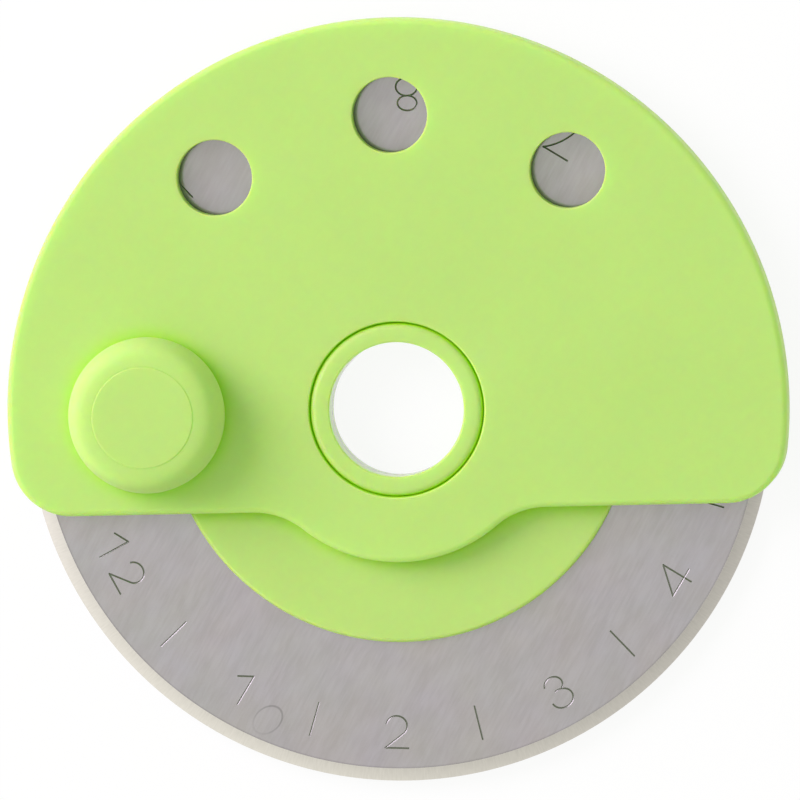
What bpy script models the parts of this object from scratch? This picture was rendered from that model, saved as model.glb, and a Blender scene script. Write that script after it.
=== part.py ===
"""Guarded rotary cutter blade: a circular blade clamped between two hub flanges, with a half-round
plastic guard that turns around the hub and is moved by a thumb knob.

The piece lies on its rear flange with the hub axis along +Z. The origin is the centre of the whole
outline's box, on the surface that the rear flange rests on.
"""

import math

import bmesh
import bpy
from mathutils import Vector

MM = 0.001

# Clearances
SEAT_GAP = 0.02 * MM  # between faces that are bonded or pressed together
TURN_GAP = 0.08 * MM  # between the guard and what it turns on, across and along the axis
HEAD_GAP = 0.05 * MM  # between the guard's ledge and the ring that holds it down
RING_SIDE_GAP = 0.1 * MM  # the ring-shaped gap that shows around the retaining ring

# Blade
BLADE_DIAMETER = 45.0 * MM
BLADE_THICKNESS = 0.3 * MM
BEVEL_WIDTH = 0.75 * MM  # ground bevel, on both sides
EDGE_LAND = 0.02 * MM  # what the grinding leaves at the very edge
PIVOT_BORE = 8.1 * MM  # hole through the whole stack, for an 8 mm pivot

# Hub
FLANGE_DIAMETER = 28.2 * MM
FRONT_FLANGE_THICKNESS = 0.6 * MM
REAR_FLANGE_THICKNESS = 0.9 * MM
FLANGE_ROUND = 0.25 * MM
NECK_WALL = 0.65 * MM
PEG_COUNT = 3
PEG_DIAMETER = 1.2 * MM
PEG_CLEARANCE = 0.05 * MM
PEG_DEPTH = 0.55 * MM  # how far a peg reaches into the rear flange
SOCKET_FLOOR = 0.3 * MM  # flange material left behind a peg's socket

# Retaining ring
RING_OVERHANG = 0.51 * MM  # how far the ring's head reaches out past the neck
RING_HEAD = 0.75 * MM
RING_OUTER_ROUND = 0.42 * MM
RING_MOUTH_ROUND = 0.12 * MM
SPIGOT_WALL = 0.28 * MM
SPIGOT_LENGTH = 0.4 * MM

# Guard
GUARD_OVERHANG = 1.0 * MM  # how far the guard stands out past the cutting edge
GUARD_PLATE = 1.5 * MM
GUARD_WALL = 0.7 * MM
GUARD_SKIRT = 0.35 * MM  # how far the guard's wall reaches past the blade's back
GUARD_FLAT_DROP = 6.04 * MM  # from the hub axis down to the guard's straight edge
GUARD_EDGE_ROUND = 0.36 * MM
CORNER_ROUND = 3.6 * MM
BULGE_LAND = 3.89 * MM  # guard material around the ring's recess, where it bulges past the flat
BULGE_BLEND = 4.75 * MM
HOLE_ROUND = 0.1 * MM
GUARD_TURN = math.radians(1.4)
WINDOW_COUNT = 3
WINDOW_DIAMETER = 4.55 * MM
WINDOW_LAND = 3.52 * MM  # from a window's rim to the guard's outer edge
WINDOW_SPACING = math.radians(36.9)

# Thumb knob
KNOB_DIAMETER = 9.4 * MM
KNOB_HEIGHT = 3.8 * MM
KNOB_LAND = 3.8 * MM  # from the knob to the guard's outer edge
KNOB_WAIST = 0.9 * MM  # height of the widest section above the guard
KNOB_FOOT_ROUND = 0.45 * MM
KNOB_TOP_DIAMETER = 6.05 * MM
KNOB_TOP_STEP = 0.04 * MM
KNOB_SHOULDER_DROP = 0.42 * MM  # fall of the sloping ring around the flat top
KNOB_SHOULDER_DIAMETER = 7.5 * MM
KNOB_STEM_DIAMETER = 3.2 * MM

# Facets
ROUND_STEPS = 84
RIM_STEPS = 144
KNOB_STEPS = 48
KNOB_SIDE_STEPS = 8
WINDOW_STEPS = 48
SMALL_STEPS = 24
ARC_STEP = math.radians(2.5)
FILLET_STEPS = 3
CUT_PAST = 1.0 * MM  # how far a cutter runs past the face that it opens

# Worked out from the sizes above
BLADE_RADIUS = BLADE_DIAMETER / 2
BORE_RADIUS = PIVOT_BORE / 2
FLANGE_RADIUS = FLANGE_DIAMETER / 2
NECK_RADIUS = BORE_RADIUS + NECK_WALL
RING_RADIUS = NECK_RADIUS + RING_OVERHANG
RECESS_RADIUS = RING_RADIUS + RING_SIDE_GAP
PEG_RADIUS = PEG_DIAMETER / 2
PEG_HOLE_RADIUS = PEG_RADIUS + PEG_CLEARANCE
PEG_PITCH = (NECK_RADIUS + FLANGE_RADIUS) / 2
GUARD_RADIUS = BLADE_RADIUS + GUARD_OVERHANG
BULGE_RADIUS = RECESS_RADIUS + BULGE_LAND
WINDOW_RADIUS = WINDOW_DIAMETER / 2
WINDOW_PITCH = GUARD_RADIUS - WINDOW_LAND - WINDOW_RADIUS
KNOB_RADIUS = KNOB_DIAMETER / 2
KNOB_PITCH = GUARD_RADIUS - KNOB_LAND - KNOB_RADIUS
STEM_RADIUS = KNOB_STEM_DIAMETER / 2

REAR_TOP = REAR_FLANGE_THICKNESS
BLADE_BACK = REAR_TOP + SEAT_GAP
BLADE_FRONT = BLADE_BACK + BLADE_THICKNESS
DISC_BACK = BLADE_FRONT + SEAT_GAP
DISC_FRONT = DISC_BACK + FRONT_FLANGE_THICKNESS
GUARD_BACK = DISC_FRONT + TURN_GAP
GUARD_FRONT = GUARD_BACK + GUARD_PLATE
WALL_BACK = BLADE_BACK - GUARD_SKIRT
RING_UNDERSIDE = GUARD_FRONT - RING_HEAD
LEDGE_FRONT = RING_UNDERSIDE - HEAD_GAP
NECK_TOP = RING_UNDERSIDE - SEAT_GAP

HUB_AXIS = Vector((0.0, (BLADE_RADIUS - GUARD_RADIUS) / 2, 0.0))


def clear_scene():
    for old in list(bpy.data.objects):
        bpy.data.objects.remove(old, do_unlink=True)


def make_material(name, colour, roughness, metallic):
    material = bpy.data.materials.new(name)
    material.use_nodes = True
    shader = material.node_tree.nodes["Principled BSDF"]
    shader.inputs["Base Color"].default_value = (*colour, 1.0)
    shader.inputs["Roughness"].default_value = roughness
    shader.inputs["Metallic"].default_value = metallic
    return material


def polar(radius, angle):
    return Vector((radius * math.cos(angle), radius * math.sin(angle)))


def arc(centre, radius, start, end, step=ARC_STEP):
    """Points along an arc from one angle to the other, both ends included."""
    count = max(2, math.ceil(abs(end - start) / step))
    angles = [start + (end - start) * i / count for i in range(count + 1)]
    return [Vector(centre) + polar(radius, angle) for angle in angles]


def corner_round(radius, from_angle, centre, steps=FILLET_STEPS):
    """A quarter-circle round of a turned profile, as (r, z) points, from one angle down by 90 degrees."""
    sweep = [from_angle - math.pi / 2 * i / steps for i in range(steps + 1)]
    return [Vector(centre) + polar(radius, angle) for angle in sweep]


def without_repeats(points):
    """The closed outline with each point that falls on the one before it left out."""
    tight = 1e-4 * MM
    return [p for i, p in enumerate(points) if (p - points[i - 1]).length > tight]


def finish_mesh(bm, name, material, sharp_angle=35):
    """Closes a bmesh into an object with its faces pointing out, shaded smooth between sharp edges."""
    bmesh.ops.recalc_face_normals(bm, faces=bm.faces)
    mesh = bpy.data.meshes.new(name)
    bm.to_mesh(mesh)
    bm.free()
    mesh.shade_smooth()
    mesh.set_sharp_from_angle(angle=math.radians(sharp_angle))
    if material:
        mesh.materials.append(material)
    obj = bpy.data.objects.new(name, mesh)
    bpy.context.scene.collection.objects.link(obj)
    return obj


def turned(name, profile, steps, material=None):
    """A closed profile of (r, z) points spun around Z. Points with r = 0 close it on the axis."""
    bm = bmesh.new()
    verts = [bm.verts.new((r, 0.0, z)) for r, z in without_repeats(profile)]
    on_axis = [abs(v.co.x) < 1e-9 for v in verts]
    pairs = zip(range(len(verts)), [*range(1, len(verts)), 0])
    edges = [bm.edges.new((verts[a], verts[b])) for a, b in pairs if not (on_axis[a] and on_axis[b])]
    bmesh.ops.spin(
        bm, geom=verts + edges, cent=(0, 0, 0), axis=(0, 0, 1), angle=math.tau, steps=steps, use_merge=True
    )
    bmesh.ops.remove_doubles(bm, verts=bm.verts, dist=1e-5 * MM)
    return finish_mesh(bm, name, material)


def as_cutter(obj):
    obj.hide_render = True
    obj.display_type = "WIRE"
    return obj


def place(obj, parent, x=0.0, y=0.0, z=0.0):
    """Sets an object at a place in its parent's axes."""
    obj.parent = parent
    obj.location = (x, y, z)
    return obj


def boolean(obj, tool, operation="DIFFERENCE"):
    modifier = obj.modifiers.new(tool.name, "BOOLEAN")
    modifier.operation = operation
    modifier.solver = "EXACT"
    modifier.object = tool


def hole_cutter(name, radius, low, rim, steps):
    """A round cutter from the height low up past the height rim, flared there for a rounded rim."""
    flare = corner_round(HOLE_ROUND, math.pi, (radius + HOLE_ROUND, rim - HOLE_ROUND))
    top = rim + CUT_PAST
    profile = [Vector((0, low)), Vector((radius, low)), *flare]
    profile += [Vector((radius + HOLE_ROUND, top)), Vector((0, top))]
    return as_cutter(turned(name, profile, steps))


def peg_places():
    for i in range(PEG_COUNT):
        yield i, polar(PEG_PITCH, math.pi / 2 + math.tau * i / PEG_COUNT)


def plain_cylinder(name, radius, low, high, steps=SMALL_STEPS):
    """A round tool, turned by half a facet so that its corners stay off a disc's radial edges."""
    profile = [Vector((0, low)), Vector((radius, low)), Vector((radius, high)), Vector((0, high))]
    tool = as_cutter(turned(name, profile, steps))
    tool.rotation_euler = (0, 0, math.pi / steps)
    return tool


def build_blade(hub, steel):
    """The round blade: flat faces, a bevel ground from both sides, the pivot bore and the peg holes."""
    middle = (BLADE_BACK + BLADE_FRONT) / 2
    face_radius = BLADE_RADIUS - BEVEL_WIDTH
    profile = [
        Vector((BORE_RADIUS, BLADE_BACK)),
        Vector((face_radius, BLADE_BACK)),
        Vector((BLADE_RADIUS, middle - EDGE_LAND / 2)),
        Vector((BLADE_RADIUS, middle + EDGE_LAND / 2)),
        Vector((face_radius, BLADE_FRONT)),
        Vector((BORE_RADIUS, BLADE_FRONT)),
    ]
    blade = place(turned("blade", profile, RIM_STEPS, steel), hub)
    for i, at in peg_places():
        low = BLADE_BACK - CUT_PAST
        high = BLADE_FRONT + CUT_PAST
        tool = plain_cylinder(f"blade_peg_hole_{i}", PEG_HOLE_RADIUS, low, high)
        boolean(blade, place(tool, hub, at.x, at.y))
    return blade


def build_rear_flange(hub, plastic):
    """The disc behind the blade, with a blind socket for each peg of the front hub."""
    round_centre = (FLANGE_RADIUS - FLANGE_ROUND, FLANGE_ROUND)
    profile = [
        Vector((BORE_RADIUS, REAR_TOP)),
        Vector((FLANGE_RADIUS, REAR_TOP)),
        *corner_round(FLANGE_ROUND, 0, round_centre),
        Vector((BORE_RADIUS, 0)),
    ]
    flange = place(turned("rear_flange", profile, ROUND_STEPS, plastic), hub)
    for i, at in peg_places():
        tool = plain_cylinder(f"peg_socket_{i}", PEG_HOLE_RADIUS, SOCKET_FLOOR, REAR_TOP + CUT_PAST)
        boolean(flange, place(tool, hub, at.x, at.y))
    return flange


def build_front_hub(hub, plastic):
    """The disc in front of the blade, with the neck that the guard turns on and the driving pegs."""
    round_centre = (FLANGE_RADIUS - FLANGE_ROUND, DISC_FRONT - FLANGE_ROUND)
    rebate = BORE_RADIUS + SPIGOT_WALL + SEAT_GAP
    rebate_floor = NECK_TOP - SPIGOT_LENGTH
    profile = [
        Vector((BORE_RADIUS, DISC_BACK)),
        Vector((BORE_RADIUS, rebate_floor)),
        Vector((rebate, rebate_floor)),
        Vector((rebate, NECK_TOP)),
        Vector((NECK_RADIUS, NECK_TOP)),
        Vector((NECK_RADIUS, DISC_FRONT)),
        *corner_round(FLANGE_ROUND, math.pi / 2, round_centre),
        Vector((FLANGE_RADIUS, DISC_BACK)),
    ]
    front = place(turned("front_hub", profile, ROUND_STEPS, plastic), hub)
    for i, at in peg_places():
        low = REAR_TOP - PEG_DEPTH
        peg = plain_cylinder(f"peg_{i}", PEG_RADIUS, low, (DISC_BACK + DISC_FRONT) / 2)
        boolean(front, place(peg, hub, at.x, at.y), "UNION")
    return front


def build_retaining_ring(hub, plastic):
    """The ring that shows in front: a head over the guard's ledge and a spigot down into the neck."""
    spigot = BORE_RADIUS + SPIGOT_WALL
    spigot_end = NECK_TOP - SPIGOT_LENGTH + SEAT_GAP
    mouth = (BORE_RADIUS + RING_MOUTH_ROUND, GUARD_FRONT - RING_MOUTH_ROUND)
    edge = (RING_RADIUS - RING_OUTER_ROUND, GUARD_FRONT - RING_OUTER_ROUND)
    profile = [
        Vector((BORE_RADIUS, spigot_end)),
        *corner_round(RING_MOUTH_ROUND, math.pi, mouth),
        *corner_round(RING_OUTER_ROUND, math.pi / 2, edge, FILLET_STEPS * 2),
        Vector((RING_RADIUS, RING_UNDERSIDE)),
        Vector((spigot, RING_UNDERSIDE)),
        Vector((spigot, spigot_end)),
    ]
    return place(turned("retaining_ring", profile, ROUND_STEPS, plastic), hub)


def guard_outline():
    """The guard's outline around the hub axis: a big arc, two round corners, and a flat lower edge
    that bulges around the hub. Each stretch is tangent to the next, and the right half is mirrored."""
    corner_y = CORNER_ROUND - GUARD_FLAT_DROP
    corner_reach = GUARD_RADIUS - CORNER_ROUND
    corner = Vector((math.sqrt(corner_reach**2 - corner_y**2), corner_y))
    corner_angle = math.atan2(corner.y, corner.x)

    blend_y = -GUARD_FLAT_DROP - BULGE_BLEND
    blend_reach = BULGE_RADIUS + BULGE_BLEND
    blend = Vector((math.sqrt(blend_reach**2 - blend_y**2), blend_y))
    blend_angle = math.atan2(blend.y, blend.x)

    half = arc((0, 0), BULGE_RADIUS, -math.pi / 2, blend_angle)
    half += arc(blend, BULGE_BLEND, blend_angle + math.pi, math.pi / 2, ARC_STEP * 2)
    half += arc(corner, CORNER_ROUND, -math.pi / 2, corner_angle, ARC_STEP * 2)
    half += arc((0, 0), GUARD_RADIUS, corner_angle, math.pi / 2)
    mirrored = [Vector((-p.x, p.y)) for p in reversed(half)]
    return without_repeats(half + mirrored)


def guard_blank():
    """The outline drawn up to the guard's full depth, with its front edge rounded."""
    bm = bmesh.new()
    face = bm.faces.new([bm.verts.new((p.x, p.y, WALL_BACK)) for p in guard_outline()])
    grown = bmesh.ops.extrude_face_region(bm, geom=[face])["geom"]
    lifted = [item for item in grown if isinstance(item, bmesh.types.BMVert)]
    bmesh.ops.translate(bm, verts=lifted, vec=(0, 0, GUARD_FRONT - WALL_BACK))
    front = [e for e in bm.edges if all(abs(v.co.z - GUARD_FRONT) < 1e-3 * MM for v in e.verts)]
    bmesh.ops.bevel(
        bm,
        geom=front,
        offset=GUARD_EDGE_ROUND,
        offset_type="OFFSET",
        segments=FILLET_STEPS,
        profile=0.5,
        affect="EDGES",
    )
    return bm


def build_guard(turning, plastic):
    """The guard: a plate with a rim wall around the blade's edge, three windows, the stepped bore
    that turns on the hub's neck, and the hole for the knob's stem."""
    guard = place(finish_mesh(guard_blank(), "guard", plastic), turning)
    inside_wall = GUARD_RADIUS - GUARD_WALL
    hollow = plain_cylinder("guard_hollow", inside_wall, WALL_BACK - CUT_PAST, GUARD_BACK, RIM_STEPS)
    boolean(guard, place(hollow, turning))

    low = GUARD_BACK - CUT_PAST
    high = GUARD_FRONT + CUT_PAST
    neck_bore = plain_cylinder("neck_bore", NECK_RADIUS + TURN_GAP, low, high, ROUND_STEPS)
    boolean(guard, place(neck_bore, turning))
    recess = hole_cutter("ring_recess", RECESS_RADIUS, LEDGE_FRONT, GUARD_FRONT, ROUND_STEPS)
    boolean(guard, place(recess, turning))

    middle = (WINDOW_COUNT - 1) / 2
    for i in range(WINDOW_COUNT):
        at = polar(WINDOW_PITCH, math.pi / 2 + (middle - i) * WINDOW_SPACING)
        window = hole_cutter(f"window_{i}", WINDOW_RADIUS, low, GUARD_FRONT, WINDOW_STEPS)
        boolean(guard, place(window, turning, at.x, at.y))

    stem_hole = plain_cylinder("stem_hole", STEM_RADIUS + SEAT_GAP, low, high, KNOB_STEPS)
    boolean(guard, place(stem_hole, turning, -KNOB_PITCH))
    return guard


def build_thumb_knob(turning, plastic):
    """The low round knob: a stem through the guard, a rounded foot, a full shoulder and a flat top."""
    foot = GUARD_FRONT + SEAT_GAP
    waist = GUARD_FRONT + KNOB_WAIST
    top = GUARD_FRONT + KNOB_HEIGHT
    flat = KNOB_TOP_DIAMETER / 2
    slope_start = top - KNOB_TOP_STEP
    slope_end = slope_start - KNOB_SHOULDER_DROP
    shoulder = KNOB_SHOULDER_DIAMETER / 2
    drop = slope_end - waist
    reach = KNOB_RADIUS - shoulder
    sweep = [math.pi / 2 * i / KNOB_SIDE_STEPS for i in range(KNOB_SIDE_STEPS + 1)]
    side = [Vector((shoulder + reach * math.sin(a), waist + drop * math.cos(a))) for a in sweep]
    foot_centre = (KNOB_RADIUS - KNOB_FOOT_ROUND, foot + KNOB_FOOT_ROUND)
    profile = [
        Vector((0, top)),
        Vector((flat, top)),
        Vector((flat, slope_start)),
        *side,
        *corner_round(KNOB_FOOT_ROUND, 0, foot_centre),
        Vector((STEM_RADIUS, foot)),
        Vector((STEM_RADIUS, GUARD_BACK)),
        Vector((0, GUARD_BACK)),
    ]
    knob = turned("thumb_knob", profile, KNOB_STEPS, plastic)
    return place(knob, turning, -KNOB_PITCH)


def main():
    clear_scene()
    plastic = make_material("lime_green_plastic", (0.53, 0.79, 0.2), 0.4, 0.0)
    steel = make_material("brushed_blade_steel", (0.47, 0.45, 0.44), 0.35, 1.0)

    hub = bpy.data.objects.new("hub_axis", None)
    hub.location = HUB_AXIS
    bpy.context.scene.collection.objects.link(hub)
    turning = bpy.data.objects.new("guard_axis", None)
    turning.rotation_euler = (0, 0, GUARD_TURN)
    turning.parent = hub
    bpy.context.scene.collection.objects.link(turning)

    build_rear_flange(hub, plastic)
    build_blade(hub, steel)
    build_front_hub(hub, plastic)
    build_retaining_ring(hub, plastic)
    build_guard(turning, plastic)
    build_thumb_knob(turning, plastic)


main()
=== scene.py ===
"""Looks of a guarded rotary cutter blade: a lime-green moulded guard with a thumb knob, its hub and ring,
and a brushed steel blade with engraved numbers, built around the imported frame."""

import math
from functools import partial

import bmesh
import bpy
import numpy as np
from mathutils import Matrix, Vector


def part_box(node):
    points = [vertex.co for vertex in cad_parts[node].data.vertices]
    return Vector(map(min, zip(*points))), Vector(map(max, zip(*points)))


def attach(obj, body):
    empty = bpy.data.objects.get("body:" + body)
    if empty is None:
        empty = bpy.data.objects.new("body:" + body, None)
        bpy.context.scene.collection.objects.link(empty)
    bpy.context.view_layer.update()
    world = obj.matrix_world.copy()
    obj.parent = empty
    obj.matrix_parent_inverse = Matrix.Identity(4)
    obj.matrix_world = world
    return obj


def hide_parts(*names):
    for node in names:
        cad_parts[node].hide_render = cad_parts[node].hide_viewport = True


bl_info = {
    "name": "Guarded cutter blade",
    "version": (1, 0, 0),
    "blender": (4, 5, 0),
    "location": "3D View > Sidebar > Cutter blade",
    "description": "Builds the blade, hub, ring, guard and knob of a rotary cutter blade, and a plain stage",
    "category": "Add Mesh",
}

MM = 0.001
DOWN, UP = -math.pi / 2, math.pi / 2

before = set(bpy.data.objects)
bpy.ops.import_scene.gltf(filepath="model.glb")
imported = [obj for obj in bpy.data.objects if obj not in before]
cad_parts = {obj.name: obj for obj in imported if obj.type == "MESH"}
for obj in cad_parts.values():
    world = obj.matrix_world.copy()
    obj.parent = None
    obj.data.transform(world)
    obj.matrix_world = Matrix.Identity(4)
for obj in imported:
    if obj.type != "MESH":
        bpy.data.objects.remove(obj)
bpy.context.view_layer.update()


def place_of(node):
    """Centre (x, y), radius, back and front of a CAD node, from its box."""
    low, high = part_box(node)
    return ((low + high) / 2).xy, (high - low).x / 2, low.z, high.z


# Places that the frame gives
HUB, BLADE_RADIUS, BLADE_BACK, BLADE_FRONT = place_of("blade")
_, FLANGE_RADIUS, REAR_BACK, REAR_FRONT = place_of("rear_flange")
_, _, PEG_END, NECK_TOP = place_of("front_hub")
_, _, WALL_BACK, GUARD_FRONT = place_of("guard")
_, RING_RADIUS, SPIGOT_END, RING_FRONT = place_of("retaining_ring")
KNOB_CENTRE, KNOB_RADIUS, STEM_END, KNOB_TOP = place_of("thumb_knob")
GUARD_TURN = math.atan2(HUB.y - KNOB_CENTRE.y, HUB.x - KNOB_CENTRE.x)


def linear(hex_colour):
    """An sRGB hex colour as linear red, green, blue."""
    srgb = np.array([int(hex_colour[i : i + 2], 16) for i in (1, 3, 5)]) / 255
    return np.where(srgb <= 0.04045, srgb / 12.92, ((srgb + 0.055) / 1.055) ** 2.4).tolist()


def number_of(name, description, value, **options):
    return bpy.props.FloatProperty(name=name, description=description, default=value, **options)


def length_of(name, description, millimetres):
    return number_of(name, description, millimetres * MM, min=0.0, unit="LENGTH", precision=5)


def angle_of(name, description, degrees):
    return number_of(name, description, math.radians(degrees), subtype="ANGLE")


def roughness_of(name, description, value):
    return number_of(name, description, value, min=0.0, max=1.0, subtype="FACTOR")


def strength_of(name, description, value):
    return number_of(name, description, value, min=0.0)


def count_of(name, description, value, most):
    return bpy.props.IntProperty(name=name, description=description, default=value, min=1, max=most)


def colour_of(name, description, hex_colour):
    return bpy.props.FloatVectorProperty(
        name=name, description=description, default=linear(hex_colour), min=0.0, max=1.0, subtype="COLOR"
    )


class GuardSizes(bpy.types.PropertyGroup):
    radius: length_of("Radius", "Outer radius of the half-round cover", 23.5)
    plate: length_of("Plate", "Thickness of the cover's plate", 1.5)
    wall: length_of("Wall", "Thickness of the rim wall around the blade's edge", 0.7)
    flat_drop: length_of("Straight edge", "Distance from the hub axis down to the straight edge", 6.04)
    corner: length_of("Corner", "Radius of the two lower corners", 3.6)
    bulge: length_of("Bulge", "Radius of the bulge around the hub", 9.2)
    blend: length_of("Blend", "Radius that blends the bulge into the straight edge", 4.75)
    edge_round: length_of("Edge round", "Round along the front edge", 0.36)
    hole_round: length_of("Hole round", "Round of the windows' and the recess's rims", 0.06)
    window: length_of("Window", "Diameter of a window", 4.55)
    window_land: length_of("Window land", "From a window's rim to the outer edge", 3.52)
    window_spacing: angle_of("Window spacing", "Angle between windows", 36.9)
    window_count: count_of("Windows", "Number of windows", 3, 5)
    ring_gap: length_of("Ring gap", "Gap that shows around the retaining ring", 0.1)
    ring_gap_end: length_of("Ring gap's end", "The same gap where the recess's draft ends", 0.02)
    ledge_front: length_of("Ledge", "Height of the ledge under the ring's head", 2.62)
    turn_gap: length_of("Running gap", "Clearance between the guard and the neck it turns on", 0.08)


class HubSizes(bpy.types.PropertyGroup):
    bore: length_of("Bore", "Diameter of the hole for the pivot", 8.1)
    neck: length_of("Neck", "Diameter of the neck that the guard turns on", 9.4)
    disc: length_of("Disc", "Thickness of the disc in front of the blade", 0.6)
    disc_round: length_of("Disc round", "Round of the discs' edges", 0.25)
    ring_round: length_of("Ring round", "Round of the ring's outer front edge", 0.42)
    mouth_round: length_of("Mouth round", "Round of the ring's inner front edge", 0.12)
    ring_head: length_of("Ring head", "Height of the ring's head", 0.75)
    spigot_wall: length_of("Spigot wall", "Thickness of the ring's spigot", 0.28)
    seat_gap: length_of("Seat gap", "Gap between faces that are bonded", 0.02)
    peg: length_of("Peg", "Diameter of the pegs that lock the hub to the blade", 1.2)
    peg_gap: length_of("Peg gap", "Clearance of a peg in its hole", 0.05)
    peg_count: count_of("Pegs", "Number of pegs", 3, 6)
    socket_floor: length_of("Socket floor", "Material left behind a peg's socket", 0.3)


class BladeSizes(bpy.types.PropertyGroup):
    bevel: length_of("Bevel", "Width of the ground bevel", 0.75)
    edge_land: length_of("Edge land", "Thickness of the very edge", 0.02)
    mark_radius: length_of("Marks", "Radius of the ring of engraved marks", 19.17)
    mark_height: length_of("Number height", "Height of an engraved number", 1.96)
    tick_length: length_of("Tick", "Length of an engraved tick", 2.07)
    # Painted shade: width of a darker line painted along the face's crease with the bevel
    dull_line: length_of("Dull line", "Width of the dull line along the bevel's inner edge", 0.14)
    groove_width: length_of("Groove width", "Width of an engraved line", 0.11)
    groove_depth: length_of("Groove depth", "Depth of an engraved line", 0.035)


class KnobSizes(bpy.types.PropertyGroup):
    top: length_of("Top", "Diameter of the flat top", 6.1)
    top_step: length_of("Top step", "Height of the step around the flat top", 0.06)
    shoulder: length_of("Shoulder", "Diameter where the shoulder starts to round", 5.8)
    slope: angle_of("Slope", "Fall of the shoulder beside its round", 8)
    waist: length_of("Waist", "Height of the widest section above the guard", 0.55)
    foot_round: length_of("Foot round", "Round at the foot", 0.45)
    stem: length_of("Stem", "Diameter of the stem", 3.2)


class Finishes(bpy.types.PropertyGroup):
    plastic: colour_of("Lime plastic", "Moulded guard, hub, ring and knob", "#c0e27e")
    # Painted shade: the deeper green that is mixed into corners and grooves in place of light bounced green
    # to green
    plastic_deep: colour_of("Lime plastic in corners", "Where light passes from green to green", "#b4f01a")
    plastic_rough: roughness_of("Plastic roughness", "Satin of the moulded plastic", 0.6)
    bore_rough: roughness_of("Bore roughness", "Smooth wall of the hole", 0.15)
    steel: colour_of("Blade steel", "Brushed face of the blade", "#ada9a9")
    steel_rough: roughness_of("Steel roughness", "Brushed face of the blade", 0.12)
    steel_haze: roughness_of("Steel haze", "Wide part of the brushed face's reflection", 0.5)
    cut: colour_of("Cut steel", "Walls of the engraved lines", "#8c8c88")
    cut_rough: roughness_of("Cut roughness", "Walls of the engraved lines", 0.4)
    bevel: colour_of("Bevel steel", "Ground bevel of the blade", "#d9d3cc")
    bevel_rough: roughness_of("Bevel roughness", "Ground bevel of the blade", 0.3)


class StageSettings(bpy.types.PropertyGroup):
    floor: colour_of("Floor", "Pale floor", "#f4f4f2")
    world: strength_of("World", "Strength of the room's light", 0.49)
    fill: colour_of("Fill", "Tint of the room between the horizon and the ceiling", "#e4ffbc")
    overhead: strength_of("Overhead", "Strength of the overhead glow", 0.2)
    side_glow: strength_of("Side glow", "Glow high up at the lower left", 0.62)
    horizon: strength_of("Horizon", "Strength of the pale band along the horizon", 0.85)
    key_tint: colour_of("Key tint", "Colour of the soft light", "#f4e0ff")
    key: strength_of("Key", "Power of the soft light at the upper left", 4.7)


# Mesh tools


def arc(radius, start, end, count):
    """Points on a quarter or any other arc round the origin: radius times (cos a, sin a), ends included."""
    angle = np.linspace(start, end, count)
    return radius * np.stack([np.cos(angle), np.sin(angle)], axis=-1)


def spoke(angle):
    """A step of length 1 away from an axis: (cos a, sin a)."""
    return np.array([math.cos(angle), math.sin(angle)])


def quarter_round(radius, count):
    """Steps of a quarter round, as its distances from the two faces that it joins: radius times
    (1 - cos a, 1 - sin a), so it leaves one face and ends on the other."""
    return [(radius * (1 - math.cos(a)), radius * (1 - math.sin(a))) for a in np.linspace(0, UP, count)]


def turned(profile, columns, centre=HUB):
    """A profile of (r, z) rows carried round a vertical axis: x = r cos a, y = r sin a, z kept."""
    angles = np.arange(columns) * math.tau / columns
    r, z = profile[:, :1], profile[:, 1:]
    x = centre[0] + r * np.cos(angles)
    y = centre[1] + r * np.sin(angles)
    return np.stack([x, y, z + np.zeros_like(x)], axis=-1)


def block_rim(index, rows, columns):
    """Vertex numbers round a block of the grid: along its first row, up its last column, and back."""
    (low, high), (left, right) = rows, columns
    step = 1 if high > low else -1
    k, j = np.arange(low, high, step), np.arange(left, right)
    first, last = index[low, j], index[high, j + 1][::-1]
    rising, falling = index[k, right], index[k + step, left][::-1]
    return np.concatenate([first, rising, last, falling])


def band_quads(below, above):
    """Four vertex numbers for each cell between rows of loops, the last column joined to the first."""
    return np.stack([below, np.roll(below, -1, axis=-1), np.roll(above, -1, axis=-1), above], axis=-1)


def fan_tris(ring, pole):
    """Three vertex numbers for each triangle between a ring and its pole."""
    return np.stack([ring, np.roll(ring, -1), np.full(len(ring), pole)], axis=-1)


def shell(loops, closed=True, ports=()):
    """Vertices and faces of a skin over rows of loops, (rows, columns, 3). Each row closes on itself, and
    the last row joins the first, or else a pole closes each end. A port opens a block of the grid onto a
    chain of rings, which ends at a second block or in a pole."""
    rows, columns = loops.shape[:2]
    index = np.arange(rows * columns).reshape(rows, columns)
    verts, quads, tris = [loops.reshape(-1, 3)], [], [np.empty((0, 3), int)]
    spans = rows if closed else rows - 1
    kept = np.ones((spans, columns), bool)

    def close(ring, points):
        tris.append(fan_tris(ring, sum(map(len, verts))))
        verts.append(points.mean(axis=0, keepdims=True))

    for port in ports:
        for low, high in map(sorted, port["blocks"]):
            kept[low:high, port["columns"][0] : port["columns"][1]] = False
        rims = [block_rim(index, block, port["columns"]) for block in port["blocks"]]
        chain = port["rings"](verts[0][rims[0]])
        numbers = sum(map(len, verts)) + np.arange(chain[..., 0].size).reshape(chain.shape[:2])
        verts.append(chain.reshape(-1, 3))
        if len(rims) == 1:
            close(numbers[-1], chain[-1])
        bands = np.array([rims[0], *numbers, *rims[1:]])
        quads.append(band_quads(bands[:-1], bands[1:]).reshape(-1, 4)[:, ::-1])
    quads.append(band_quads(index[:spans], np.roll(index, -1, axis=0)[:spans])[kept])
    if not closed:
        close(index[0], loops[0])
        close(index[-1], loops[-1])
    return np.concatenate(verts), np.concatenate(quads), np.concatenate(tris)


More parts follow.
